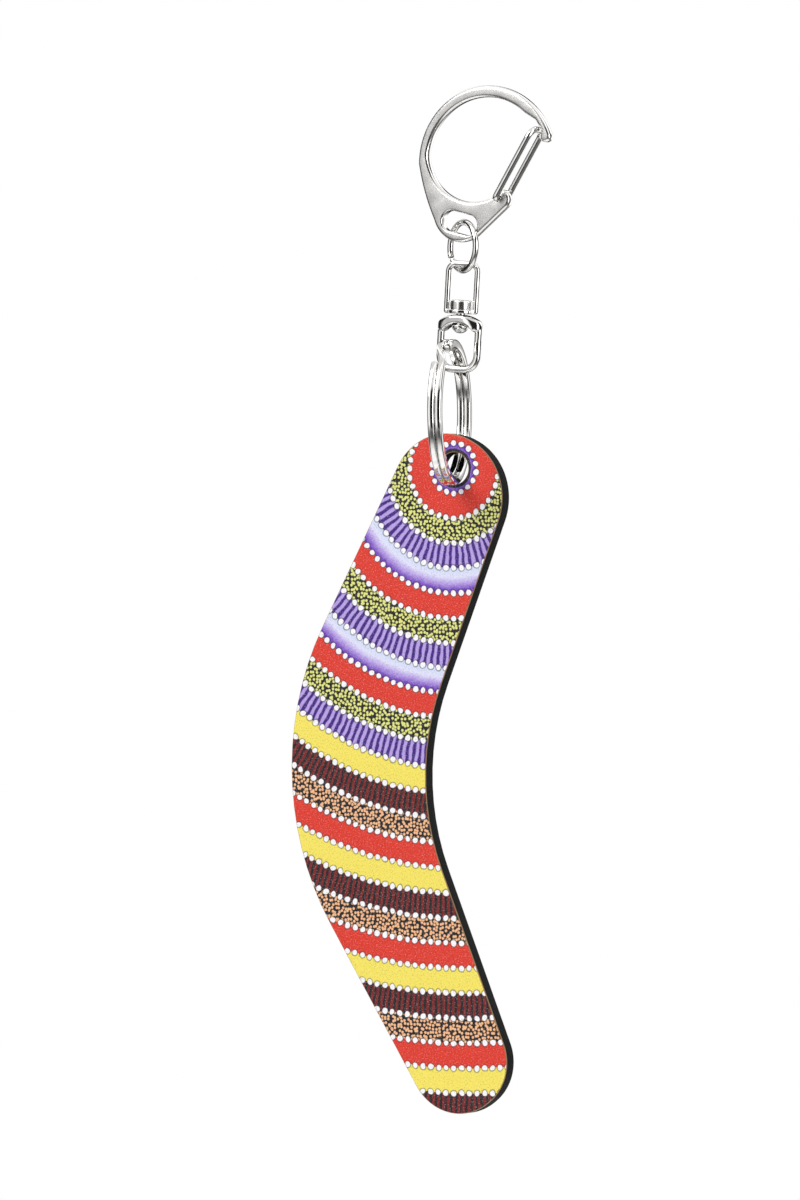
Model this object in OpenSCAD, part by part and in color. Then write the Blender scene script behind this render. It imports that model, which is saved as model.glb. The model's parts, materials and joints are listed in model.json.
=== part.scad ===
// Boomerang key ring, hanging from its snap hook. Millimetres, +Z up, the printed face looks along -Y.
// The origin is the crown of the hook's opening, where a peg or a belt loop carries it.

/* [Blade] */
// Thickness of the fibreboard core
core_t = 2.8; // [2:0.1:3]
// Thickness of the printed film on the front face
film_t = 0.2; // [0.1:0.05:0.4]
// Diameter of the drilled hole
hole_d = 5.6; // [5.5:0.1:6]
// Width across the two corners of the bend, before rounding
bend_w = 31; // [31:0.5:34]
// Drop from the hole to the bend
bend_drop = 53.2; // [50.2:0.5:54.2]
// Distance that the inner bend stands left of the hole
bend_left = 8.8; // [7:0.2:11]
// Length of the upper arm along its inner edge, before rounding
upper_in_l = 57.2; // [54.7:0.5:60.2]
// Length of the upper arm along its outer edge, before rounding
upper_out_l = 71.7; // [69.7:0.5:74.7]
// Length of the lower arm along its inner edge, before rounding
lower_in_l = 55.5; // [55:0.5:57]
// Length of the lower arm along its outer edge, before rounding
lower_out_l = 73; // [72:0.5:74]

/* [Split ring] */
// Outer diameter of the split ring
ring_d = 25; // [24:0.5:28]
// Radial thickness of the flat wire
ring_wire_t = 1.6; // [1.2:0.1:1.8]
// Width of one of the two coils
coil_w = 1.2; // [1:0.05:1.2]
// Turn of the ring about the vertical, away from square to the blade
ring_yaw = 15; // [0:1:15]
// Slope of the ring's wire where it passes through the blade's hole
ring_slope = 33; // [20:1:33]

/* [Swivel] */
// Sideways lean of the swivel from the vertical
swivel_lean = 3.5; // [0:0.5:6]
// Outer width of the upper link
link_w = 6.6; // [6.4:0.1:7.4]
// Outer width of the shackle
shackle_w = 8.5; // [8:0.1:9.4]
// Drop from the jump ring's wire to the middle of the shackle's bar
bar_drop = 17; // [16.7:0.1:18]
// Diameter of the shackle's bar and legs
bar_d = 1.3; // [1.1:0.05:1.5]

/* [Jump ring] */
// Radius of the jump ring at the middle of its wire
jump_r = 4.15; // [4.1:0.05:4.2]
// Wire diameter of the jump ring
jump_wire = 1.1; // [0.9:0.05:1.15]
// Angle between the jump ring and the hook's plate
jump_turn = 31; // [31:1:40]

/* [Snap hook] */
// Thickness of the die-cast plate
plate_t = 1.8; // [1.6:0.05:1.85]
// Wire diameter of the gate
gate_wire_d = 1.1; // [0.9:0.05:1.15]
// Length of the gate from its pivot to the middle of its end bend
gate_l = 13.6; // [13.3:0.1:13.7]
// Lean of the gate from the vertical
gate_lean = 31.6; // [31:0.2:32]

/* [Hidden] */
$fn = 64;

fit = 0.05;          // radial clearance of a running fit
rest = 0.1;          // gap where one link hangs on the next
rest_turned = 0.33;  // the same where the split ring, turned by its yaw, hangs on the bar
over = 1;            // how far a cutting tool runs past a face
arc_step = 4;        // degrees between the points of an arc

// Places of the snap hook's features, in its own plane (x, z)
crown_c = [2.4, -11.2];   // centre of the outer arc
crown_r = 13.1;
mouth_c = [2.2, -11.3];   // centre of the upper inner arc
mouth_r = 11.2;
cradle_c = [0.05, -9.1];  // centre of the lower inner arc
cradle_r = 8.95;
heel_c = [-2.5, -19.5];   // centre of the rounded heel round the eye
heel_r = 5.4;
gate_pivot = [4.95, -17.6];
knuckle_c = [5.25, -17.8]; // rounded end of the plate round the gate's pivot
knuckle_r = 1.75;
gate_leg_y = 2.2;         // each leg of the gate from the middle plane
pin_web = 0.35;           // half of the plate left between the two pivot bores
eye_c = [-2.65, -21.6];
eye_r = 1.75;
eye_half = 1.65;          // half the distance between the eye's two end centres
eye_tilt = -15;

// The jump ring hangs on the eye's lower rim
jump_c = [-2.3, 0, -25.6];
jump_gap_at = 62;         // place of the cut, from the bottom of the ring
jump_gap = 8;             // width of the cut in degrees

// Levels of the swivel under the jump ring's lower wire
link_wire = 1;
link_top = (jump_wire + link_wire) / 2 + rest;
link_bend = 1.4;          // bend radius of the loop's corners
sole_top = -6.8;          // top of the loop's flat bottom plate
sole_t = 0.7;
sole_d = 4.4;
drum_d = 3.8;             // rivet's upper head
drum_h = 1.7;
shank_d = 1.6;
button_d = 2.9;           // rivet's lower head
button_h = 1.35;
dome_top = sole_top - sole_t - rest;
dome_r = 7.4;
seat_z = dome_top - 1.85; // seat of the rivet's lower head
arch_r = 3.9;             // arch under the crosspiece
arch_half = 2.75;
arch_rise = 0.2;          // the arch reaches this far above the rivet's seat
arch_foot = 0.6;          // height of the straight sides under the arch
dome_foot = dome_top - 2.9;
dome_depth = 3.2;
corner_r = 2.4;           // bend radius of the shackle's lower corners

// The ring leans forward: the bar carries it at its upper back, and the blade hangs at its lower back
ring_mid_r = (ring_d - ring_wire_t) / 2;
ring_in_r = ring_d / 2 - ring_wire_t;
bar_in_r = ring_in_r - bar_d / 2 - rest_turned;
ring_forward = ring_mid_r * sin(ring_slope);
ring_rise = ring_mid_r * cos(ring_slope);
bar_rise = sqrt(pow(bar_in_r, 2) - pow(ring_forward, 2));
wire_bow = 0.28;          // the wire's bow inside the blade's hole
coil_gap = 0.05;
split_at = 228;           // place of the free end, from the bottom over the back
jog = 26;                 // sweep in which the wire steps from one coil to the other

link_at = [jump_c[0], jump_c[1], jump_c[2] - jump_r];
bar_at = link_at + bar_drop * [-sin(swivel_lean), 0, -cos(swivel_lean)];
ring_at = bar_at + [ring_forward * sin(ring_yaw), -ring_forward * cos(ring_yaw), -bar_rise];
hole_at = [bar_at[0], bar_at[1], ring_at[2] - ring_rise + wire_bow];
blade_t = core_t + film_t;

// Points of an arc about c from angle a0 to a1
function arc(c, r, a0, a1) =
    let (n = max(2, ceil(abs(a1 - a0) / arc_step)))
    [for (i = [0:n]) c + r * [cos(a0 + (a1 - a0) * i / n), sin(a0 + (a1 - a0) * i / n)]];

// Points of a flat arc from p to q that bows out by sag to the right of the way
function bow(p, q, sag) =
    let (d = q - p, l = norm(d), out = [d[1], -d[0]] / l, n = 10)
    [for (i = [1:n - 1]) p + d * i / n + out * sag * (1 - pow(2 * i / n - 1, 2))];

// One corner [x, z, radius] of an outline, rounded between its neighbours
function rounded(before, at, after) =
    let (p = [at[0], at[1]], u = [before[0], before[1]] - p, v = [after[0], after[1]] - p,
         un = u / norm(u), vn = v / norm(v), half = acos(un * vn) / 2,
         c = p + (un + vn) / norm(un + vn) * at[2] / sin(half),
         s = p + un * at[2] / tan(half) - c, e = p + vn * at[2] / tan(half) - c,
         a0 = atan2(s[1], s[0]), turn = atan2(s[0] * e[1] - s[1] * e[0], s * e))
    arc(c, at[2], a0, a0 + turn);

function outline(corners) =
    let (n = len(corners))
    [for (i = [0:n - 1]) each rounded(corners[(i + n - 1) % n], corners[i], corners[(i + 1) % n])];

// A plane shape in x and z, stood upright with its thickness along y
module upright(t) {
    rotate([90, 0, 0]) linear_extrude(t, center = true) children();
}

// A round wire along z from z0 to z1
module post(d, z0, z1) {
    translate([0, 0, z0]) cylinder(d = d, h = z1 - z0);
}

// A bend of round wire in the x-z plane, from angle a0 over sweep
module bend(r, d, a0, sweep) {
    rotate([90, 0, 0]) rotate([0, 0, a0]) rotate_extrude(angle = sweep) translate([r, 0]) circle(d = d);
}

// Stands a ring that lies flat on its edge: its bottom is at angle 0 and its back at 90
module on_edge(turn) {
    rotate([0, 0, turn]) rotate([0, 90, 0]) children();
}

// Direction of an arm's edge that leans from the vertical
function along(lean, up) = [sin(lean), up * cos(lean)];

bend_in = [-bend_left, -bend_drop];
bend_out = bend_in - [bend_w, 0.3];
top_in = bend_in + upper_in_l * along(21.5, 1);
top_out = bend_out + upper_out_l * along(28.1, 1);
foot_in = bend_in + lower_in_l * along(22, -1);
foot_out = bend_out + lower_out_l * along(31.5, -1);
blade_corners = [[each top_out, 10.5], [each top_in, 11], [each bend_in, 43],
                 [each foot_in, 8.6], [each foot_out, 9.5], [each bend_out, 52]];

// A layer of the blade: y0 is its front face and t its thickness
module blade_layer(y0, t) {
    translate([hole_at[0], hole_at[1] + y0 + t / 2, hole_at[2]]) {
        difference() {
            upright(t) polygon(outline(blade_corners));
            rotate([90, 0, 0]) cylinder(d = hole_d, h = t + 2 * over, center = true);
        }
    }
}

module blade_core() {
    color([0.06, 0.07, 0.06]) blade_layer(film_t - blade_t / 2, core_t);
}

module front_print() {
    color([0.45, 0.25, 0.65]) blade_layer(-blade_t / 2, film_t);
}

// One coil of the split ring, side is -1 or 1
module coil(side) {
    rotate([0, 0, split_at]) rotate_extrude(angle = 360 - jog, $fn = 120)
        translate([ring_in_r, side * (coil_w + coil_gap) / 2 - coil_w / 2]) square([ring_wire_t, coil_w]);
}

// The stretch of wire that steps from the left coil to the right one
module coil_step() {
    steps = 12;
    inset = 0.03;
    points = [for (i = [-1:steps + 1]) let (f = min(max(i / steps, 0), 1),
                  a = split_at - jog + jog * i / steps, mid = (coil_w + coil_gap) / 2 * -cos(180 * f))
              each [for (c = [[-1, -1], [1, -1], [1, 1], [-1, 1]])
                  let (r = ring_mid_r + c[0] * (ring_wire_t / 2 - inset))
                  [r * cos(a), r * sin(a), mid + c[1] * (coil_w / 2 - inset)]]];
    rows = steps + 2;
    sides = [for (i = [0:rows - 1]) for (k = [0:3]) let (a = 4 * i + k, b = 4 * i + (k + 1) % 4)
             each [[a, b, b + 4], [a, b + 4, a + 4]]];
    last = 4 * rows;
    polyhedron(points, concat(sides, [[3, 2, 1, 0], [last, last + 1, last + 2, last + 3]]));
}

module split_ring() {
    color([0.78, 0.79, 0.80]) translate(ring_at) on_edge(ring_yaw) {
        coil(-1);
        coil(1);
        coil_step();
    }
}

// Places the swivel's pieces: their origin is the middle of the jump ring's lower wire
module on_swivel() {
    translate(link_at) rotate([0, swivel_lean, 0]) children();
}

module swivel_shackle() {
    leg_x = (shackle_w - bar_d) / 2;
    color([0.74, 0.75, 0.77]) on_swivel() difference() {
        union() {
            for (side = [-1, 1]) {
                translate([side * leg_x, 0, 0]) post(bar_d, -bar_drop + corner_r, dome_foot + 0.4);
                translate([side * (leg_x - corner_r), 0, -bar_drop + corner_r])
                    bend(corner_r, bar_d, side > 0 ? 270 : 180, 90);
            }
            translate([0, 0, -bar_drop]) rotate([0, 90, 0])
                cylinder(d = bar_d, h = 2 * (leg_x - corner_r), center = true);
            upright(dome_depth) difference() {
                intersection() {
                    translate([0, dome_top - dome_r]) circle(r = dome_r, $fn = 96);
                    translate([-shackle_w / 2, dome_foot]) square([shackle_w, dome_top - dome_foot]);
                }
                translate([0, seat_z + arch_rise - arch_r]) circle(r = arch_r);
                translate([-arch_half, dome_foot - over]) square([2 * arch_half, over + arch_foot]);
            }
        }
        post(shank_d + 2 * fit, seat_z - over, dome_top + over);
        post(button_d + 0.6, seat_z - 2, seat_z);
    }
}

module swivel_rivet() {
    edge = 0.35;
    sole_z = sole_top;
    button_top = seat_z - fit;
    color([0.80, 0.81, 0.82]) on_swivel() {
        rotate_extrude() polygon(concat(
            [[0, sole_z + drum_h]],
            arc([drum_d / 2 - edge, sole_z + drum_h - edge], edge, 90, 0),
            [[drum_d / 2, sole_z], [shank_d / 2, sole_z], [shank_d / 2, button_top]],
            [for (a = [0:6:90]) [button_d / 2 * cos(a), button_top - 0.15 - (button_h - 0.15) * sin(a)]]));
        translate([0, 0, button_top - 0.15]) cylinder(d = button_d, h = 0.15);
    }
}

module swivel_link() {
    leg_x = (link_w - link_wire) / 2;
    color([0.76, 0.77, 0.79]) on_swivel() difference() {
        union() {
            for (side = [-1, 1]) {
                translate([side * leg_x, 0, 0]) post(link_wire, sole_top - sole_t, link_top - link_bend);
                translate([side * (leg_x - link_bend), 0, link_top - link_bend])
                    bend(link_bend, link_wire, side > 0 ? 0 : 90, 90);
            }
            translate([0, 0, link_top]) rotate([0, 90, 0])
                cylinder(d = link_wire, h = 2 * (leg_x - link_bend), center = true);
            post(sole_d, sole_top - sole_t, sole_top);
            translate([0, 0, sole_top - sole_t / 2]) cube([2 * leg_x, link_wire, sole_t], center = true);
        }
        post(shank_d + 0.04, sole_top - sole_t - over, sole_top + over);
    }
}

module jump_ring() {
    color([0.80, 0.81, 0.82]) translate(jump_c) on_edge(90 - jump_turn)
        rotate([0, 0, jump_gap_at + jump_gap / 2]) rotate_extrude(angle = 360 - jump_gap)
            translate([jump_r, 0]) circle(d = jump_wire, $fn = 32);
}

// Outline of the snap hook: nose, crown, back, heel, knuckle, then the inner side back to the nose
function hook_outline() =
    let (run = knuckle_c - heel_c,
         tangent = atan2(run[1], run[0]) + asin((heel_r - knuckle_r) / norm(run)) + 270,
         back_top = crown_c + crown_r * [cos(180), sin(180)],
         back_foot = heel_c + heel_r * [cos(196), sin(196)])
    concat([[12.8, -7.6], [13.15, -8.05], [13.95, -8.2], [14.6, -7.95], [14.85, -7.3]],
           arc(crown_c, crown_r, 18, 180),
           bow(back_top, back_foot, 0.35),
           arc(heel_c, heel_r, 196, tangent),
           arc(knuckle_c, knuckle_r, tangent, 434),
           arc(cradle_c, cradle_r, 310.5, 184.5),
           arc(mouth_c, mouth_r, 171, 48),
           [[11.85, -4.3], [13.0, -6.05]]);

module hook_body() {
    color([0.70, 0.70, 0.70]) difference() {
        upright(plate_t) polygon(hook_outline());
        translate([eye_c[0], 0, eye_c[1]]) rotate([0, -eye_tilt, 0]) upright(plate_t + 2 * over)
            polygon(concat(arc([eye_half, 0], eye_r, -90, 90), arc([-eye_half, 0], eye_r, 90, 270)));
        for (side = [-1, 1]) {
            translate([gate_pivot[0], side * (pin_web + 1), gate_pivot[1]]) rotate([90, 0, 0])
                cylinder(d = gate_wire_d + 2 * fit, h = 2, center = true);
        }
    }
}

module gate_wire() {
    pin_end = pin_web + 0.1;
    color([0.80, 0.81, 0.82]) translate([gate_pivot[0], 0, gate_pivot[1]]) rotate([0, gate_lean, 0]) {
        for (side = [-1, 1]) {
            translate([0, side * gate_leg_y, 0]) {
                post(gate_wire_d, 0, gate_l - gate_leg_y);
                sphere(d = gate_wire_d);
            }
            translate([0, side * (pin_end + gate_leg_y) / 2, 0]) rotate([90, 0, 0])
                cylinder(d = gate_wire_d, h = gate_leg_y - pin_end, center = true);
        }
        translate([0, 0, gate_l - gate_leg_y]) rotate([0, 0, 90]) bend(gate_leg_y, gate_wire_d, 0, 180);
    }
}

blade_core();
front_print();
split_ring();
swivel_shackle();
swivel_rivet();
swivel_link();
jump_ring();
hook_body();
gate_wire();
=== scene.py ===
"""Boomerang key ring: a printed blade on a split ring, a swivel, a jump ring and a sprung snap hook."""
import json
import math

import bmesh
import bpy
import numpy as np
from mathutils import Matrix, Vector
from mathutils.geometry import delaunay_2d_cdt


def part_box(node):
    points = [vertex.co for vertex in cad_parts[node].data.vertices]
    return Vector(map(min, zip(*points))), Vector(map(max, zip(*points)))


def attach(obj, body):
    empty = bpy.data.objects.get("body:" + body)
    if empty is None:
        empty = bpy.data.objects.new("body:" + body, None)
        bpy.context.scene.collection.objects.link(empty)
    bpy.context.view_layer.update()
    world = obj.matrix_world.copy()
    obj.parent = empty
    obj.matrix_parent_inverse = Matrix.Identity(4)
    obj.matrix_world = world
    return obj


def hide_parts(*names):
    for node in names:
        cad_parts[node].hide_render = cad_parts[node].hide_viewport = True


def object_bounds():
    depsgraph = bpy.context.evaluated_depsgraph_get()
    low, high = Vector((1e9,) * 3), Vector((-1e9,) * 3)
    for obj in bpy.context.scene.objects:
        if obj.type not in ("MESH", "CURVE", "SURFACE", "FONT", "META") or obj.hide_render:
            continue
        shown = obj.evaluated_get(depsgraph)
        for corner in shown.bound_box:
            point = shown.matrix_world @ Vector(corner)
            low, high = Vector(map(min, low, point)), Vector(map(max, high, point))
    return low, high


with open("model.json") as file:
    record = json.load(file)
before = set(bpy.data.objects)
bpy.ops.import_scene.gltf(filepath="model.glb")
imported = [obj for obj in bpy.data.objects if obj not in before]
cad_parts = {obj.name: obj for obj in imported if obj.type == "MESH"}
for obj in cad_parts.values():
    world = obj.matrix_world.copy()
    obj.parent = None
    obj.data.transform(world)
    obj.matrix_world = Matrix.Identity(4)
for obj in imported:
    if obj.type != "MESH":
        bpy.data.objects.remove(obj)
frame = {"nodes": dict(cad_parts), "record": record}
CAD_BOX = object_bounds()
MM = 0.001
rad = math.radians

# Places of the joints, which are the centres of the links, in millimetres
JOINT = {j["name"]: np.array(j["pos_m"]) / MM for j in frame["record"]["behaviour"]["joints"]}
PIVOT = JOINT["gate_pivot"]
JUMP = JOINT["link_swing"]
LINK = JOINT["swivel_spin"]
BAR = JOINT["ring_swing"]
HOLE = JOINT["blade_swing"]
UP = np.array([0, 0, 1.0])

# Sizes of the CAD's nodes, in millimetres and degrees
COIL_W, RING_WIRE, COIL_GAP, COIL_JOG, COIL_START = 1.2, 1.6, 0.05, 26.0, 228.0
RING_YAW, RING_SLOPE = 15, 33
SWIVEL_LEAN, BAR_Z, BAR_D, SHACKLE_W, SHACKLE_R = 3.5, -17.0, 1.3, 8.5, 2.4
SOLE, SOLE_T, SOLE_HALF, SOLE_R = -6.8, 0.7, 3.1, 2.2
LINK_W, LINK_WIRE, LINK_R = 6.6, 1.0, 1.4
JUMP_R, JUMP_TURN, JUMP_WIRE = 4.15, 31, 1.1
GATE_HALF, GATE_TALL, GATE_BEND, GATE_LEAN, GATE_WIRE = 2.2, 13.6, 1.7, 31.6, 1.1
SLIM = 0.005         # how far a round wire's surface stays inside the CAD's


# ---------------------------------------------------------------- meshes

def make(name, verts, faces, smooth=True):
    """A mesh object from points in millimetres."""
    mesh = bpy.data.meshes.new(name)
    mesh.from_pydata([tuple(float(c) * MM for c in v) for v in verts], [], faces)
    mesh.validate()
    bm = bmesh.new()
    bm.from_mesh(mesh)
    bmesh.ops.recalc_face_normals(bm, faces=bm.faces)
    bm.to_mesh(mesh)
    bm.free()
    for p in mesh.polygons:
        p.use_smooth = smooth
    obj = bpy.data.objects.new(name, mesh)
    bpy.context.scene.collection.objects.link(obj)
    return obj


def sharpen(obj, degrees):
    """Keeps edges sharper than this flat-shaded on a smooth mesh."""
    bm = bmesh.new()
    bm.from_mesh(obj.data)
    for e in bm.edges:
        e.smooth = len(e.link_faces) == 2 and e.calc_face_angle(0) < rad(degrees)
    bm.to_mesh(obj.data)
    bm.free()


def apply_modifiers(obj):
    graph = bpy.context.evaluated_depsgraph_get()
    mesh = bpy.data.meshes.new_from_object(obj.evaluated_get(graph))
    obj.modifiers.clear()
    obj.data = mesh


def fuse(obj, voxel, rounds):
    """Joins overlapping shells into one skin with soft fillets."""
    m = obj.modifiers.new("fuse", "REMESH")
    m.mode, m.voxel_size, m.use_smooth_shade = "VOXEL", voxel * MM, True
    s = obj.modifiers.new("soften", "SMOOTH")
    s.factor, s.iterations = 0.5, rounds
    apply_modifiers(obj)
    for p in obj.data.polygons:
        p.use_smooth = True


def cap_loops(node, front):
    """The outlines (x, z) of a plate-like CAD node's face at its lowest or highest y, in millimetres."""
    mesh = frame["nodes"][node].data
    pts = np.array([v.co[:] for v in mesh.vertices]) / MM
    y = pts[:, 1].min() if front else pts[:, 1].max()
    key = {i: tuple(np.round(p[[0, 2]], 3)) for i, p in enumerate(pts) if abs(p[1] - y) < 1e-3}
    count = {}
    for poly in mesh.polygons:
        idx = list(poly.vertices)
        if all(i in key for i in idx):
            for a, b in zip(idx, idx[1:] + idx[:1]):
                a, b = key[a], key[b]
                if a != b:
                    e = (a, b) if a < b else (b, a)
                    count[e] = count.get(e, 0) + 1
    near = {}
    for (a, b), n in count.items():
        if n == 1:
            near.setdefault(a, []).append(b)
            near.setdefault(b, []).append(a)
    loops = []
    while near:
        start = min(near)
        loop, at, before = [start], start, None
        while True:
            to = [p for p in near[at] if p != before][0]
            if to == start:
                break
            loop.append(to)
            before, at = at, to
        for p in loop:
            near.pop(p, None)
        loops.append(np.array(loop))
    return sorted(loops, key=lambda q: -np.ptp(q[:, 0]))


def resample(loop, step):
    """The loop with points about every step, and its own corners kept."""
    out = []
    for a, b in zip(loop, np.roll(loop, -1, axis=0)):
        n = max(1, int(round(np.linalg.norm(b - a) / step)))
        out += [a + (b - a) * i / n for i in range(n)]
    return thin(np.array(out), step * 0.45)


def thin(loop, least):
    keep = [loop[0]]
    for p in loop[1:]:
        if np.linalg.norm(p - keep[-1]) > least:
            keep.append(p)
    if np.linalg.norm(keep[0] - keep[-1]) < least:
        keep.pop()
    return np.array(keep)


def distance(points, loop):
    """Distance of each point to a closed outline."""
    a, b = loop, np.roll(loop, -1, axis=0)
    d = b - a
    rel = points[:, None, :] - a[None]
    t = np.clip((rel * d).sum(2) / (d * d).sum(1), 0, 1)
    return np.linalg.norm(rel - t[..., None] * d, axis=2).min(1)


def inside(points, loops):
    odd = np.zeros(len(points), bool)
    for loop in loops:
        a, b = loop, np.roll(loop, -1, axis=0)
        x, y = points[:, 0:1], points[:, 1:2]
        cross = (a[:, 1] > y) != (b[:, 1] > y)
        with np.errstate(divide="ignore", invalid="ignore"):
            at = a[:, 0] + (y - a[:, 1]) * (b[:, 0] - a[:, 0]) / (b[:, 1] - a[:, 1])
        odd ^= (cross & (x < at)).sum(1) % 2 == 1
    return odd


def fill(loops, insets, spread):
    """Triangles over the area within the loops, with rows of points at the inset distances."""
    pts, edges = [], []
    for loop in loops:
        n, base = len(loop), len(pts)
        pts += list(loop)
        edges += [(base + i, base + (i + 1) % n) for i in range(n)]
    rim = len(pts)
    extra = []
    for k, loop in enumerate(loops):
        along = np.roll(loop, -1, axis=0) - np.roll(loop, 1, axis=0)
        normal = np.stack([-along[:, 1], along[:, 0]], 1) / np.linalg.norm(along, axis=1)[:, None]
        if not inside(loop[:1] + normal[:1] * 0.02, loops)[0]:
            normal = -normal
        for d in insets[k]:
            extra.append(loop + normal * d)
            extra[-1] = extra[-1][distance(extra[-1], loop) > 0.97 * d]
    if spread:
        lo, hi = loops[0].min(0), loops[0].max(0)
        xs, ys = np.arange(lo[0], hi[0], spread), np.arange(lo[1], hi[1], spread)
        grid = np.array([(x + (j % 2) * spread / 2, y) for j, y in enumerate(ys) for x in xs])
        keep = inside(grid, loops)
        for k, loop in enumerate(loops):
            keep &= distance(grid, loop) > max(insets[k]) + 0.6 * spread
        extra.append(grid[keep])
    extra = np.vstack(extra)
    extra = extra[inside(extra, loops)]
    seen, chosen = {}, []
    for p in extra:
        cell = tuple(np.round(p / 0.03).astype(int))
        if cell not in seen:
            seen[cell] = 1
            chosen.append(p)
    pts += chosen
    out = delaunay_2d_cdt([Vector(p) for p in pts], edges, [], 0, 1e-7)
    flat = np.array([v[:] for v in out[0]])
    tris = np.array([f for f in out[2] if len(f) == 3])
    mid = flat[tris].mean(1)
    return flat, tris[inside(mid, loops)]


def plate(name, loops, y0, y1, round0, round1, spread=0, rows=6, blind=None, skirt=()):
    """A plate from y0 to y1 with rounded edges, which have the radii round0 and round1, one for each loop.
    A loop in blind is a recess from both faces that leaves a web of that thickness.
    skirt adds rows further in."""
    blind = blind or {}
    most = [max(a, b, 0.05) for a, b in zip(round0, round1)]
    insets = [[m * (1 - math.cos(rad(90 * i / rows))) for i in range(1, rows + 1)] + list(skirt)
              for m in most]
    flat, tris = fill(loops, insets, spread)
    away = [distance(flat, loop) for loop in loops]
    drop = []
    for radii in (round0, round1):
        worst = np.zeros(len(flat))
        for d, r in zip(away, radii):
            if r:
                worst = np.maximum(worst, r - np.sqrt(np.clip(r * r - np.clip(r - d, 0, r) ** 2, 0, None)))
        drop.append(worst)
    n = len(flat)
    verts = [(p[0], y0 + a, p[1]) for p, a in zip(flat, drop[0])]
    verts += [(p[0], y1 - a, p[1]) for p, a in zip(flat, drop[1])]
    faces = [tuple(int(i) for i in t) for t in tris] + [tuple(int(i) + n for i in t[::-1]) for t in tris]
    used = {}
    for t in tris:
        for a, b in ((t[0], t[1]), (t[1], t[2]), (t[2], t[0])):
            e = (min(a, b), max(a, b))
            used[e] = used.get(e, 0) + 1
    web_ring = {k: {} for k in blind}
    for (a, b), c in used.items():
        if c != 1:
            continue
        a, b = int(a), int(b)
        k = int(np.argmin([d[a] + d[b] for d in away]))
        if k not in blind:
            faces.append((a, b, b + n, a + n))
            continue
        half, mid = blind[k] / 2, (y0 + y1) / 2
        ring = web_ring[k]
        for i in (a, b):
            if i not in ring:
                ring[i] = len(verts)
                verts.append((flat[i][0], mid - half, flat[i][1]))
                verts.append((flat[i][0], mid + half, flat[i][1]))
        faces.append((a, b, ring[b], ring[a]))
        faces.append((a + n, b + n, ring[b] + 1, ring[a] + 1))
    for k, ring in web_ring.items():
        mid = loops[k].mean(0)
        order = sorted(ring, key=lambda i: math.atan2(flat[i][1] - mid[1], flat[i][0] - mid[0]))
        faces.append(tuple(ring[i] for i in order))
        faces.append(tuple(ring[i] + 1 for i in order))
    obj = make(name, verts, faces)
    rim = obj.data.attributes.new("rim", "FLOAT", "POINT")
    near = np.min(away, axis=0)
    if len(obj.data.vertices) == 2 * n:
        rim.data.foreach_set("value", np.tile(near, 2).astype(np.float32))
    return obj


def sweep(path, section, normals=None, closed=False, rounded=0.0):
    """Points and faces of a section (across, up) carried along a path. rounded is the ends' bevel."""
    path = np.array(path, float)
    n = len(path)
    if closed:
        tangent = np.roll(path, -1, 0) - np.roll(path, 1, 0)
    else:
        tangent = np.gradient(path, axis=0)
    tangent /= np.linalg.norm(tangent, axis=1)[:, None]
    if normals is None:
        side = np.cross(tangent[0], (0.3, 0.5, 0.81))
        normals = []
        for t in tangent:
            side = side - t * np.dot(side, t)
            side /= np.linalg.norm(side)
            normals.append(side.copy())
    normals = np.array(normals, float)
    normals -= tangent * (normals * tangent).sum(1)[:, None]
    normals /= np.linalg.norm(normals, axis=1)[:, None]
    up = np.cross(tangent, normals)
    section = np.array(section, float)
    m = len(section)
    rows = [(path[i], normals[i], up[i], section) for i in range(n)]
    if rounded and not closed:
        reach = np.abs(section).max()
        for end, way in ((0, -1), (n - 1, 1)):
            for f in (0.4, 0.75, 1.0):
                back = rounded * (1 - math.sqrt(max(0, 1 - f * f)))
                small = section * (1 - back / reach)
                out = path[end] + way * tangent[end] * rounded * f
                row = (out, normals[end], up[end], small)
                rows = [row] + rows if way < 0 else rows + [row]
    verts = [c + a * p[0] + b * p[1] for c, a, b, sec in rows for p in sec]
    count = len(rows)
    faces = []
    for i in range(count if closed else count - 1):
        j = (i + 1) % count
        faces += [(i * m + k, i * m + (k + 1) % m, j * m + (k + 1) % m, j * m + k) for k in range(m)]
    if not closed:
        faces += [tuple(range(m)), tuple((count - 1) * m + k for k in range(m))]
    return verts, faces


def tube_faces(rows, n):
    """The faces between rows of n points, and the two ends."""
    faces = [(i * n + k, i * n + (k + 1) % n, (i + 1) * n + (k + 1) % n, (i + 1) * n + k)
             for i in range(rows - 1) for k in range(n)]
    return faces + [tuple(range(n)), tuple((rows - 1) * n + k for k in range(n))]


def circle(r, n=24):
    return [(r * math.cos(2 * math.pi * k / n), r * math.sin(2 * math.pi * k / n)) for k in range(n)]


def soft_box(w, h, r, n=5):
    """A rectangle w by h with rounded corners."""
    out = []
    for cx, cy, a0 in ((1, 1, 0), (-1, 1, 90), (-1, -1, 180), (1, -1, 270)):
        for k in range(n):
            a = rad(a0 + 90 * k / (n - 1))
            out.append((cx * (w / 2 - r) + r * math.cos(a), cy * (h / 2 - r) + r * math.sin(a)))
    return out


def join_shells(name, shells):
    verts, faces = [], []
    for v, f in shells:
        faces += [tuple(i + len(verts) for i in face) for face in f]
        verts += list(v)
    return make(name, verts, faces)


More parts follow.
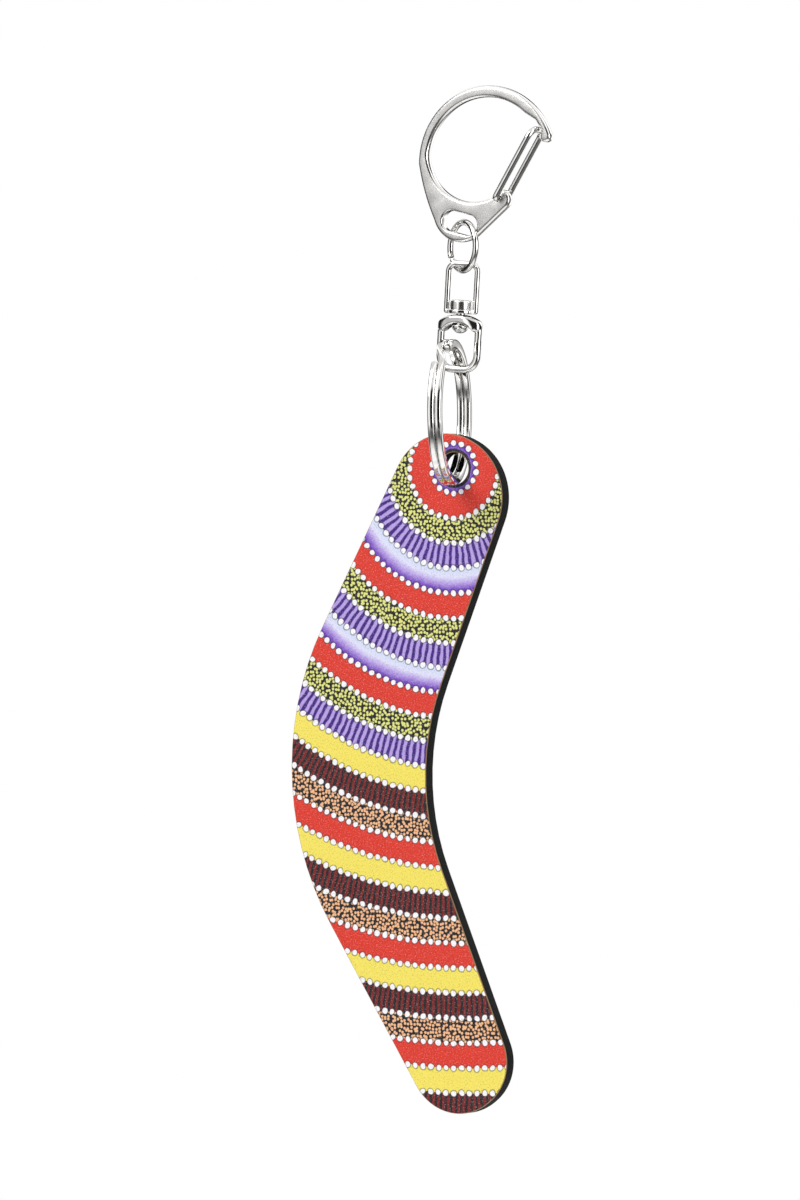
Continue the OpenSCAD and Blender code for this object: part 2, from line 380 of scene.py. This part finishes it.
def rounded_path(corners, radii, step=8):
    """A path through corners with arcs of these radii at the inner ones."""
    pts = [np.array(corners[0], float)]
    for k in range(1, len(corners) - 1):
        a, p, b = (np.array(c, float) for c in corners[k - 1:k + 2])
        u, v = (a - p) / np.linalg.norm(a - p), (b - p) / np.linalg.norm(b - p)
        half = math.acos(np.clip(np.dot(u, v), -1, 1)) / 2
        r = radii[k - 1]
        c = p + (u + v) / np.linalg.norm(u + v) * r / math.sin(half)
        s, e = p + u * r / math.tan(half) - c, p + v * r / math.tan(half) - c
        turn = math.pi - 2 * half
        n = max(3, int(math.degrees(turn) / step))
        for i in range(n + 1):
            f = i / n
            pts.append(c + (s * math.sin((1 - f) * turn) + e * math.sin(f * turn)) / math.sin(turn))
    pts.append(np.array(corners[-1], float))
    out = [pts[0]]
    for p in pts[1:]:
        gap = np.linalg.norm(p - out[-1])
        n = max(1, int(gap / 0.35))
        out += [out[-1] + (p - out[-1]) * i / n for i in range(1, n + 1)]
    return out


def lathe(profile, n=64):
    """Points and faces of a profile (r, z) turned about z. It starts and ends on the axis."""
    verts = [(0, 0, profile[0][1])]
    for r, z in profile[1:-1]:
        verts += [(r * math.cos(2 * math.pi * k / n), r * math.sin(2 * math.pi * k / n), z) for k in range(n)]
    verts.append((0, 0, profile[-1][1]))
    rows = len(profile) - 2
    faces = [(0, 1 + k, 1 + (k + 1) % n) for k in range(n)]
    for i in range(rows - 1):
        a, b = 1 + i * n, 1 + (i + 1) * n
        faces += [(a + k, b + k, b + (k + 1) % n, a + (k + 1) % n) for k in range(n)]
    last = len(verts) - 1
    base = 1 + (rows - 1) * n
    faces += [(base + (k + 1) % n, base + k, last) for k in range(n)]
    return verts, faces


def move(obj, matrix):
    obj.data.transform(matrix)
    return obj


# ---------------------------------------------------------------- the shader language

class Value:
    """A shader number that can be used in ordinary arithmetic."""

    def __init__(self, net, socket):
        self.net, self.socket = net, socket

    def __add__(self, o): return self.net.math("ADD", self, o)
    def __radd__(self, o): return self.net.math("ADD", o, self)
    def __sub__(self, o): return self.net.math("SUBTRACT", self, o)
    def __rsub__(self, o): return self.net.math("SUBTRACT", o, self)
    def __mul__(self, o): return self.net.math("MULTIPLY", self, o)
    def __rmul__(self, o): return self.net.math("MULTIPLY", o, self)
    def __truediv__(self, o): return self.net.math("DIVIDE", self, o)
    def __abs__(self): return self.net.math("ABSOLUTE", self)


class Net:
    """Writes a material's node graph."""

    def __init__(self, name):
        self.material = bpy.data.materials.new(name)
        self.material.use_nodes = True
        self.tree = self.material.node_tree
        self.tree.nodes.clear()
        self.out = self.node("ShaderNodeOutputMaterial")
        self.shader = self.node("ShaderNodeBsdfPrincipled")
        self.link(self.shader.outputs[0], self.out.inputs[0])

    def node(self, kind, **settings):
        n = self.tree.nodes.new(kind)
        for k, v in settings.items():
            setattr(n, k, v)
        return n

    def link(self, a, b):
        self.tree.links.new(a, b)

    def put(self, socket, value):
        if isinstance(value, Value):
            self.link(value.socket, socket)
        elif isinstance(value, (tuple, list)):
            opaque = len(value) == 3 and len(socket.default_value) == 4
            socket.default_value = (*value, 1.0) if opaque else value
        elif hasattr(value, "links") or isinstance(value, bpy.types.NodeSocket):
            self.link(value, socket)
        else:
            socket.default_value = value

    def math(self, op, *args):
        n = self.node("ShaderNodeMath", operation=op)
        for s, a in zip(n.inputs, args):
            self.put(s, a)
        return Value(self, n.outputs[0])

    def step(self, x, lo, hi):
        """0 below lo and 1 above hi, smooth between. With lo above hi it falls."""
        n = self.node("ShaderNodeMapRange", interpolation_type="SMOOTHSTEP")
        self.put(n.inputs["Value"], x)
        up = lo < hi
        n.inputs["From Min"].default_value = lo if up else hi
        n.inputs["From Max"].default_value = hi if up else lo
        n.inputs["To Min"].default_value = 0 if up else 1
        n.inputs["To Max"].default_value = 1 if up else 0
        return Value(self, n.outputs["Result"])

    def mix(self, a, b, f):
        n = self.node("ShaderNodeMix", data_type="RGBA")
        self.put(n.inputs[0], f)
        self.put(n.inputs[6], a)
        self.put(n.inputs[7], b)
        return n.outputs[2]

    def ramp(self, x, stops):
        n = self.node("ShaderNodeValToRGB")
        self.put(n.inputs[0], x)
        el = n.color_ramp.elements
        while len(el) < len(stops):
            el.new(0.5)
        for e, (at, c) in zip(el, stops):
            e.position, e.color = at, (*c, 1)
        return n.outputs[0]

    def place(self, scale=(1, 1, 1)):
        """Object coordinates in millimetres, as a vector socket."""
        tc = self.node("ShaderNodeTexCoord")
        m = self.node("ShaderNodeMapping")
        self.link(tc.outputs["Object"], m.inputs[0])
        m.inputs["Scale"].default_value = [s / MM for s in scale]
        return m.outputs[0]

    def noise(self, vector, scale, detail=3, rough=0.5):
        n = self.node("ShaderNodeTexNoise")
        self.link(vector, n.inputs["Vector"])
        n.inputs["Scale"].default_value = scale
        n.inputs["Detail"].default_value = detail
        n.inputs["Roughness"].default_value = rough
        return Value(self, n.outputs[0])

    def specks(self, a, b, size):
        """Distance to the nearest point of a flat scatter about size apart, as a share of size."""
        both = self.node("ShaderNodeCombineXYZ")
        self.put(both.inputs[0], a)
        self.put(both.inputs[1], b)
        n = self.node("ShaderNodeTexVoronoi", voronoi_dimensions="2D")
        self.link(both.outputs[0], n.inputs["Vector"])
        n.inputs["Scale"].default_value = 1 / size
        n.inputs["Randomness"].default_value = 0.75
        return Value(self, n.outputs["Distance"])

    def split(self, vector):
        n = self.node("ShaderNodeSeparateXYZ")
        self.link(vector, n.inputs[0])
        return [Value(self, s) for s in n.outputs]

    def bump(self, height, strength, depth=0.05):
        n = self.node("ShaderNodeBump")
        n.inputs["Strength"].default_value = strength
        n.inputs["Distance"].default_value = depth * MM
        self.put(n.inputs["Height"], height)
        self.link(n.outputs[0], self.shader.inputs["Normal"])

    def set(self, **values):
        for k, v in values.items():
            self.put(self.shader.inputs[k.replace("_", " ")], v)


def srgb(*rgb):
    """Linear light from display values of 0 to 255."""
    return tuple(c / 12.92 if c <= 0.04045 else ((c + 0.055) / 1.055) ** 2.4 for c in (v / 255 for v in rgb))


# ---------------------------------------------------------------- metal

def polished(name, tone, rough=0.03, wear=0.03):
    """Bright nickel plate with fine scratches and faint waviness, rougher where the mesh is marked dull."""
    net = Net(name)
    p = net.place()
    cloud = net.noise(p, 0.9, 3)
    fine = net.noise(net.place((9, 9, 1.2)), 1.0, 4, 0.65)
    net.set(Metallic=1.0, Base_Color=net.mix([c * 0.86 for c in tone], tone, net.step(cloud, 0.3, 0.65)))
    dull = Value(net, net.node("ShaderNodeAttribute", attribute_name="dull").outputs["Fac"])
    worn = rough + wear * net.step(fine, 0.5, 0.8)
    net.put(net.shader.inputs["Roughness"], worn + 0.02 * cloud + 0.17 * dull)
    net.bump(cloud * 0.8 + fine * 0.06, 0.25, 0.03)
    return net.material


def satin(name, tone):
    """Tumbled die-cast nickel: a grainy flat face, and rims that wear bright."""
    net = Net(name)
    p = net.place()
    tc = net.node("ShaderNodeTexCoord")
    facing = abs(net.split(tc.outputs["Normal"])[1])
    grain = net.noise(p, 6.5, 4, 0.6)
    cloud = net.noise(p, 0.45, 3)
    flat = net.step(facing, 0.80, 0.97)
    mottle = net.step(grain + cloud * 0.5, 0.55, 0.95)
    dull = net.mix([c * 0.52 for c in tone], [c * 0.76 for c in tone], mottle)
    net.set(Metallic=1.0, Base_Color=net.mix(tone, dull, flat))
    net.put(net.shader.inputs["Roughness"], 0.08 + flat * (0.19 + 0.12 * grain))
    net.bump(grain * (flat * 0.8 + 0.1) + cloud, 0.4, 0.03)
    return net.material


NICKEL = (0.86, 0.85, 0.83)
m_ring = polished("ring_steel", NICKEL)
m_swivel = polished("swivel_metal", (0.85, 0.84, 0.82))
m_wire = polished("wire_metal", NICKEL)
m_hook = satin("hook_metal", (0.84, 0.83, 0.81))

# ---------------------------------------------------------------- the board and its print


def board_material():
    """Black-stained fibreboard with a fuzzy sawn edge."""
    net = Net("board")
    p = net.place()
    tc = net.node("ShaderNodeTexCoord")
    side = net.step(abs(net.split(tc.outputs["Normal"])[1]), 0.75, 0.35)
    layers = net.noise(net.place((0.35, 6, 0.35)), 1.0, 4, 0.7)
    fibres = net.noise(net.place((2.6, 1.1, 2.6)), 1.3, 5, 0.7)
    dust = net.noise(p, 5.5, 3, 0.7)
    back = net.mix(srgb(30, 29, 27), srgb(66, 63, 58), net.step(fibres, 0.36, 0.70))
    sawn = net.mix(srgb(3, 5, 4), srgb(30, 38, 33), net.step(layers * 0.6 + dust * 0.5, 0.5, 0.85))
    net.put(net.shader.inputs["Base Color"], net.mix(back, sawn, side))
    net.put(net.shader.inputs["Roughness"], 0.55 + 0.3 * fibres)
    net.set(Specular_IOR_Level=0.30 - 0.18 * side)
    net.bump(fibres + dust * 0.6 + layers * side, 0.5, 0.06)
    return net.material


WHITE, PALE, BLUE = srgb(250, 248, 251), srgb(226, 226, 250), srgb(206, 220, 246)
LAVENDER, VIOLET, DEEP = srgb(184, 160, 230), srgb(118, 66, 190), srgb(62, 24, 126)
RED, MAROON, INK = srgb(222, 54, 36), srgb(122, 24, 24), srgb(18, 12, 18)
LIME, YELLOW, PEACH = srgb(226, 228, 130), srgb(246, 228, 96), srgb(244, 186, 138)


def print_material():
    """A generic pattern: evenly spaced rings about the hole, four fills in turn, with dots between."""
    net = Net("print")
    p = net.place()
    warp = net.node("ShaderNodeTexNoise")
    net.link(p, warp.inputs["Vector"])
    warp.inputs["Scale"].default_value = 0.5
    warp.inputs["Detail"].default_value = 2
    wx, wy, _ = net.split(warp.outputs["Color"])
    x, _, z = net.split(p)
    u = x - HOLE[0] + 0.7 * (wx - 0.5)
    v = z - HOLE[2] + 0.7 * (wy - 0.5)
    hatch = net.noise(net.place((1.6, 1, 1.6)), 1.3, 3, 0.6) - 0.5
    width = 4.3
    rho, phi = net.math("SQRT", u * u + v * v), net.math("ARCTAN2", u, 0 - v)
    edge_r = width * net.math("ROUND", rho / width)
    mid_r = width * (net.math("FLOOR", rho / width) + 0.5)
    turn = net.math("FRACT", rho / (4 * width))

    def wrapped(along, gap):
        return net.math("WRAP", along, gap / 2, -gap / 2)

    def bars(gap, share):
        return net.step(abs(wrapped(phi * mid_r, gap)), gap * share / 2 + 0.1, gap * share / 2 - 0.1)

    def in_turn(tones):
        c = tones[0]
        for k in (1, 2, 3):
            c = net.mix(c, tones[k], net.step(turn, k / 4 - 0.003, k / 4 + 0.003))
        return c

    shades = [(0.0, BLUE), (0.35, PALE), (0.6, LAVENDER), (0.85, VIOLET), (1.0, DEEP)]
    pale = net.ramp(net.math("FRACT", rho / width) + hatch * 0.25, shades)
    speck = net.step(net.specks(x, z, 0.62), 0.44, 0.34)
    cool = in_turn([pale, RED, net.mix(INK, LIME, speck), net.mix(DEEP, LAVENDER, bars(1.2, 0.5))])
    warm = in_turn([YELLOW, net.mix(INK, MAROON, bars(1.0, 0.5)), net.mix(INK, PEACH, speck), RED])
    c = net.mix(cool, warm, net.step(rho, 12 * width - 0.05, 12 * width + 0.05))

    # a row of dots on every edge between two rings, and a plain border round the hole
    off, along = rho - edge_r, wrapped(phi * edge_r, 1.5)
    dot = net.math("SQRT", off * off + along * along)
    c = net.mix(c, INK, net.step(dot, 0.76, 0.52) * 0.8)
    c = net.mix(c, WHITE, net.step(dot, 0.56, 0.42))
    c = net.mix(c, INK, net.step(rho, 3.5, 3.3))

    # printer's grain over everything, and the bare rim where the film was trimmed
    grain = net.noise(p, 4.6, 2, 0.65)
    c = net.mix(c, INK, net.step(grain, 0.50, 0.80) * 0.55)
    c = net.mix(c, WHITE, net.step(grain, 0.46, 0.20) * 0.35)
    rim = net.node("ShaderNodeAttribute", attribute_name="rim")
    edge = net.noise(p, 1.4, 3)
    c = net.mix(c, srgb(150, 118, 84), net.step(Value(net, rim.outputs["Fac"]) - 0.10 * edge, 0.10, 0.02))
    net.put(net.shader.inputs["Base Color"], c)
    net.put(net.shader.inputs["Roughness"], 0.42 + 0.14 * grain)
    net.set(Specular_IOR_Level=0.35)
    net.bump(grain + edge, 0.25, 0.03)
    return net.material


m_board = board_material()
m_print = print_material()


def finish_piece(obj, material, node, body):
    obj.data.materials.clear()
    obj.data.materials.append(material)
    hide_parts(node)
    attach(obj, body)
    return obj


# ---------------------------------------------------------------- blade

lo, hi = (np.array(b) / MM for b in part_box("blade_core"))
outline, bore = cap_loops("blade_core", False)
board_loops = [resample(outline, 0.9), resample(bore, 0.35)]
board = plate("blade_board", board_loops, lo[1], hi[1], (0, 0), (0.45, 0.3), rows=5)
sharpen(board, 50)
finish_piece(board, m_board, "blade_core", "blade")

lo, hi = (np.array(b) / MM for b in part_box("front_print"))
film_loops = [resample(outline, 0.6), resample(bore, 0.3)]
film = plate("blade_print", film_loops, lo[1], hi[1], (0.16, 0.12), (0, 0), rows=4, spread=3,
             skirt=(0.32, 0.6))
sharpen(film, 60)
finish_piece(film, m_print, "front_print", "blade")

# ---------------------------------------------------------------- split ring

lo, hi = (np.array(b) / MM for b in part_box("split_ring"))
ring_mid = (hi[2] - lo[2]) / 2 - RING_WIRE / 2
ring_yaw, forward = rad(RING_YAW), ring_mid * math.sin(rad(RING_SLOPE))
ring_at = np.array([BAR[0] + forward * math.sin(ring_yaw), BAR[1] - forward * math.cos(ring_yaw),
                    (lo[2] + hi[2]) / 2])


def on_edge(a, r, across):
    """A point of the ring: a is the angle from its bottom over the back, across runs along its axis."""
    axis = np.array([math.cos(ring_yaw), math.sin(ring_yaw), 0])
    back = np.array([-math.sin(ring_yaw), math.cos(ring_yaw), 0])
    return ring_at + r * (math.sin(a) * back - math.cos(a) * UP) + across * axis


path, out = [], []
total = 720 - COIL_JOG
for i in range(361):
    deg = total * i / 360
    into = (deg - (360 - COIL_JOG)) / COIL_JOG
    swing = min(max(into, 0), 1)
    across = -(COIL_W + COIL_GAP) / 2 * math.cos(math.pi * swing)
    a = rad(COIL_START + deg)
    path.append(on_edge(a, ring_mid, across))
    out.append(on_edge(a, ring_mid + 1, across) - path[-1])
verts, faces = sweep(path, soft_box(RING_WIRE - 2 * SLIM, COIL_W - 2 * SLIM, 0.38, 6), out, rounded=0.18)
ring = make("split_ring_coils", verts, faces)
sharpen(ring, 60)
finish_piece(ring, m_ring, "split_ring", "ring")

# ---------------------------------------------------------------- swivel

LEAN = Matrix.Translation(Vector(LINK * MM)) @ Matrix.Rotation(rad(SWIVEL_LEAN), 4, "Y")
DRUM_TOP = SOLE + 1.7
DOME = SOLE - SOLE_T - 0.1
SEAT = DOME - 1.85
FOOT = DOME - 2.9

# shackle: a wire stirrup under a domed crosspiece
leg = (SHACKLE_W - BAR_D) / 2
stirrup = rounded_path([(-leg, 0, FOOT + 1.0), (-leg, 0, BAR_Z), (leg, 0, BAR_Z), (leg, 0, FOOT + 1.0)],
                       [SHACKLE_R, SHACKLE_R])
shells = [sweep(stirrup, circle(BAR_D / 2, 28))]
verts = []
spans = [SHACKLE_W / 2 * math.sin(rad(90 * i / 26)) for i in range(-26, 27)]
ring_n = 40
for i, x in enumerate(spans):
    ax = abs(x)
    top = DOME - 7.4 + math.sqrt(7.4 ** 2 - ax ** 2)
    under = SEAT + 0.2 - 3.9 + math.sqrt(max(3.9 ** 2 - min(ax, 2.75) ** 2, 0))
    foot = under if ax < 2.75 else FOOT
    end = math.sqrt(max(0.0, 1 - (max(ax - 3.55, 0) / 0.65) ** 2))
    deep = (1.6 - 0.75 * max(0, (ax - 1.2) / 3.0) ** 1.6) * max(end, 0.02)
    mid, tall = (top + foot) / 2, (top - foot) / 2 * max(end, 0.02)
    for k in range(ring_n):
        a = 2 * math.pi * k / ring_n
        ca, sa = math.cos(a), math.sin(a)
        y, z = (math.copysign(abs(c) ** 0.55, c) for c in (ca, sa))
        verts.append((x, deep * y, mid + tall * z))
shells.append((verts, tube_faces(len(spans), ring_n)))
shackle = move(join_shells("swivel_stirrup", shells), LEAN)
fuse(shackle, 0.085, 5)
finish_piece(shackle, m_swivel, "swivel_shackle", "lower_swivel")

# rivet: drum head above, domed head below
profile = [(0, DRUM_TOP)]
profile += [(r, DRUM_TOP - 0.02 * r * r) for r in (0.5, 1.0, 1.35)]
profile += [(1.5 + 0.4 * math.sin(rad(a)), DRUM_TOP - 0.45 + 0.4 * math.cos(rad(a))) for a in range(0, 91, 15)]
profile += [(1.9, SOLE + 0.25), (1.84, SOLE + 0.02), (1.72, SOLE), (0.8, SOLE), (0.8, SEAT - 0.05),
            (1.38, SEAT - 0.05), (1.45, SEAT - 0.14)]
profile += [(1.45 * math.cos(rad(a)), SEAT - 0.2 - 1.2 * math.sin(rad(a))) for a in range(6, 85, 6)]
profile += [(0, SEAT - 1.4)]
rivet = move(make("swivel_rivet_heads", *lathe(profile)), LEAN)
dull = rivet.data.attributes.new("dull", "FLOAT", "POINT")
dull.data.foreach_set("value", np.ones(len(rivet.data.vertices), np.float32))
sharpen(rivet, 40)
finish_piece(rivet, m_swivel, "swivel_rivet", "upper_swivel")

# upper link: a wire loop whose ends spread into a flat sole round the rivet
side = (LINK_W - LINK_WIRE) / 2
top = (JUMP_WIRE + LINK_WIRE) / 2 + 0.1
loop = rounded_path([(-side, 0, SOLE - 0.35), (-side, 0, top), (side, 0, top), (side, 0, SOLE - 0.35)],
                    [LINK_R, LINK_R])
shells = [sweep(loop, circle(LINK_WIRE / 2, 24), rounded=0.1)]
sole = []
for k in range(72):
    a = 2 * math.pi * k / 72
    ca, sa = math.cos(a), math.sin(a)
    bar_r = min(SOLE_HALF, SOLE_HALF / max(abs(ca), 1e-6), LINK_WIRE / 2 / max(abs(sa), 1e-6))
    reach = (SOLE_R ** 8 + bar_r ** 8) ** 0.125
    sole.append((max(-SOLE_HALF, min(SOLE_HALF, ca * reach)), max(-SOLE_R, min(SOLE_R, sa * reach))))
rows = [(0.86, SOLE - 0.02), (0.95, SOLE - 0.04), (1.0, SOLE - 0.14), (1.0, SOLE - SOLE_T + 0.14),
        (0.95, SOLE - SOLE_T + 0.04), (0.86, SOLE - SOLE_T + 0.02)]
verts = [(p[0] * f, p[1] * f, z) for f, z in rows for p in sole]
shells.append((verts, tube_faces(len(rows), len(sole))))
link = move(join_shells("swivel_loop", shells), LEAN)
fuse(link, 0.07, 4)
finish_piece(link, m_swivel, "swivel_link", "upper_swivel")

# ---------------------------------------------------------------- jump ring

turn = rad(90 - JUMP_TURN)
across_axis = np.array([math.cos(turn), math.sin(turn), 0])
back_axis = np.array([-math.sin(turn), math.cos(turn), 0])
path = []
for i in range(121):
    f = i / 120
    a = rad(62 + 4.5 + (360 - 9) * f)
    slip = 0.10 * (abs(2 * f - 1) ** 6) * (1 if f > 0.5 else -1)
    path.append(JUMP + JUMP_R * (math.sin(a) * back_axis - math.cos(a) * UP) + slip * across_axis)
verts, faces = sweep(path, circle(JUMP_WIRE / 2 - SLIM, 28), [across_axis] * len(path), rounded=0.08)
jump = make("jump_ring_wire", verts, faces)
sharpen(jump, 50)
finish_piece(jump, m_wire, "jump_ring", "jump")

# ---------------------------------------------------------------- snap hook

lo, hi = (np.array(b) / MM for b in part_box("hook_body"))
loops = cap_loops("hook_body", True)
hook_loops = [resample(loops[0], 0.32), resample(loops[1], 0.3), resample(loops[2], 0.12)]
hook_edges = (0.62, 0.4, 0.1)
hook = plate("hook_plate", hook_loops, lo[1], hi[1], hook_edges, hook_edges, spread=1.1, rows=7, blind={2: 0.7})
sharpen(hook, 55)
finish_piece(hook, m_hook, "hook_body", "hook")

# the sprung gate: one wire from pin to pin
wire_side = [(0, -0.45, 0), (0, -GATE_HALF, 0), (0, -GATE_HALF, GATE_TALL)]
gate_path = rounded_path(wire_side + [(x, -y, z) for x, y, z in wire_side[::-1]],
                         [0.55, GATE_BEND, GATE_BEND, 0.55])
verts, faces = sweep(gate_path, circle(GATE_WIRE / 2 - SLIM, 24), rounded=0.08)
gate = make("gate_loop", verts, faces)
move(gate, Matrix.Translation(Vector(PIVOT * MM)) @ Matrix.Rotation(rad(GATE_LEAN), 4, "Y"))
sharpen(gate, 50)
finish_piece(gate, m_wire, "gate_wire", "gate")

# ---------------------------------------------------------------- floor, light and camera

floor_z = CAD_BOX[0][2] - 0.085
bpy.ops.mesh.primitive_circle_add(vertices=96, radius=1.2, fill_type="NGON", location=(0, 0, floor_z))
floor = bpy.context.object
floor.name = "floor"
net = Net("floor")
length = net.node("ShaderNodeVectorMath", operation="LENGTH")
tc = net.node("ShaderNodeTexCoord")
net.link(tc.outputs["Object"], length.inputs[0])
net.set(Base_Color=(0.9, 0.9, 0.9), Roughness=0.85, Specular_IOR_Level=0.1)
net.put(net.shader.inputs["Alpha"], net.step(Value(net, length.outputs["Value"]), 0.26, 0.10))
floor.data.materials.append(net.material)

scene = bpy.context.scene
scene.view_settings.view_transform = "Standard"
world = bpy.data.worlds.new("studio")
scene.world = world
world.use_nodes = True
tree = world.node_tree
tree.nodes.clear()


def wnode(kind, **settings):
    n = tree.nodes.new(kind)
    for k, v in settings.items():
        setattr(n, k, v)
    return n


def wmath(op, *args):
    n = wnode("ShaderNodeMath", operation=op)
    for s, a in zip(n.inputs, args):
        if isinstance(a, (int, float)):
            s.default_value = a
        else:
            tree.links.new(a, s)
    return n.outputs[0]


def wstep(x, lo, hi):
    n = wnode("ShaderNodeMapRange", interpolation_type="SMOOTHSTEP")
    tree.links.new(x, n.inputs["Value"])
    n.inputs["From Min"].default_value, n.inputs["From Max"].default_value = min(lo, hi), max(lo, hi)
    n.inputs["To Min"].default_value, n.inputs["To Max"].default_value = (0, 1) if lo < hi else (1, 0)
    return n.outputs["Result"]


# a light grey room with bright and dark panels round it, which give polished metal its lines
sep = wnode("ShaderNodeSeparateXYZ")
tree.links.new(wnode("ShaderNodeTexCoord").outputs["Generated"], sep.inputs[0])
dx, dy, dz = sep.outputs
azimuth = wmath("ARCTAN2", dx, wmath("MULTIPLY", dy, -1))


def panels(places):
    """1 inside panels that stand at these azimuths, each (centre, half width, softness) in degrees."""
    all_of = None
    for centre, width, soft in places:
        off = wmath("ABSOLUTE", wmath("WRAP", wmath("SUBTRACT", azimuth, rad(centre)), math.pi, -math.pi))
        one = wstep(off, rad(width + soft), rad(width - soft))
        all_of = one if all_of is None else wmath("MAXIMUM", all_of, one)
    return all_of


high = wstep(wmath("ABSOLUTE", wmath("SUBTRACT", dz, 0.05)), 0.62, 0.45)
dark = panels(((30, 29, 3), (-86, 27, 4), (122, 25, 4), (-160, 15, 5)))
bright = panels(((-12, 9, 5), (78, 16, 5), (-124, 8, 4), (166, 12, 5)))
sky = wstep(dz, 0.35, 0.75)
level = wmath("ADD", 0.63, wmath("ADD", wmath("MULTIPLY", bright, 0.75), wmath("MULTIPLY", sky, 0.22)))
shade = wmath("MAXIMUM", wmath("MULTIPLY", dark, high), wmath("MULTIPLY", wstep(dz, -0.30, -0.55), 0.86))
level = wmath("MULTIPLY", level, wmath("SUBTRACT", 1.0, wmath("MULTIPLY", shade, 0.97)))
path_node = wnode("ShaderNodeLightPath")
glossy, diffuse = path_node.outputs["Is Glossy Ray"], path_node.outputs["Is Diffuse Ray"]
plain = wmath("SUBTRACT", 1.0, wmath("MULTIPLY", diffuse, 0.5))
plain = wmath("MULTIPLY", plain, wmath("SUBTRACT", 1.0, glossy))
strength = wmath("ADD", wmath("MULTIPLY", level, glossy), plain)
background = wnode("ShaderNodeBackground")
background.inputs[0].default_value = (1, 1, 1, 1)
tree.links.new(strength, background.inputs[1])
tree.links.new(background.outputs[0], wnode("ShaderNodeOutputWorld").inputs[0])


def light(name, place, target, size, power, glossy=True):
    data = bpy.data.lights.new(name, "AREA")
    data.shape, data.size, data.size_y, data.energy = "RECTANGLE", size[0], size[1], power
    obj = bpy.data.objects.new(name, data)
    obj.location = place
    obj.rotation_euler = (Vector(target) - Vector(place)).to_track_quat("-Z", "Y").to_euler()
    obj.visible_camera, obj.visible_glossy = False, glossy
    scene.collection.objects.link(obj)


VIEW = rad(28)
lateral, height, away = -12.9 * MM, -86.5 * MM, 1.2
target = Vector((lateral * math.cos(VIEW), lateral * math.sin(VIEW), height))
toward = Vector((math.sin(VIEW), -math.cos(VIEW), 0))
aside = Vector((math.cos(VIEW), math.sin(VIEW), 0))
light("key", target + toward * 0.3 - aside * 0.45 + Vector((0, 0, 0.5)), target, (0.35, 0.5), 3.6)
light("fill", target + toward * 0.5 + aside * 0.5 + Vector((0, 0, 0.1)), target, (0.3, 0.5), 1.2)
light("back", target - toward * 0.5 - aside * 0.15 + Vector((0, 0, 0.35)), target, (0.4, 0.4), 3.0,
      glossy=False)

camera = bpy.data.cameras.new("camera")
camera.sensor_fit = "VERTICAL"
camera.angle_y = 2 * math.atan(0.1032 / away)
eye = bpy.data.objects.new("camera", camera)
eye.location = target + toward * away
eye.rotation_euler = (-toward).to_track_quat("-Z", "Y").to_euler()
scene.collection.objects.link(eye)
scene.camera = eye
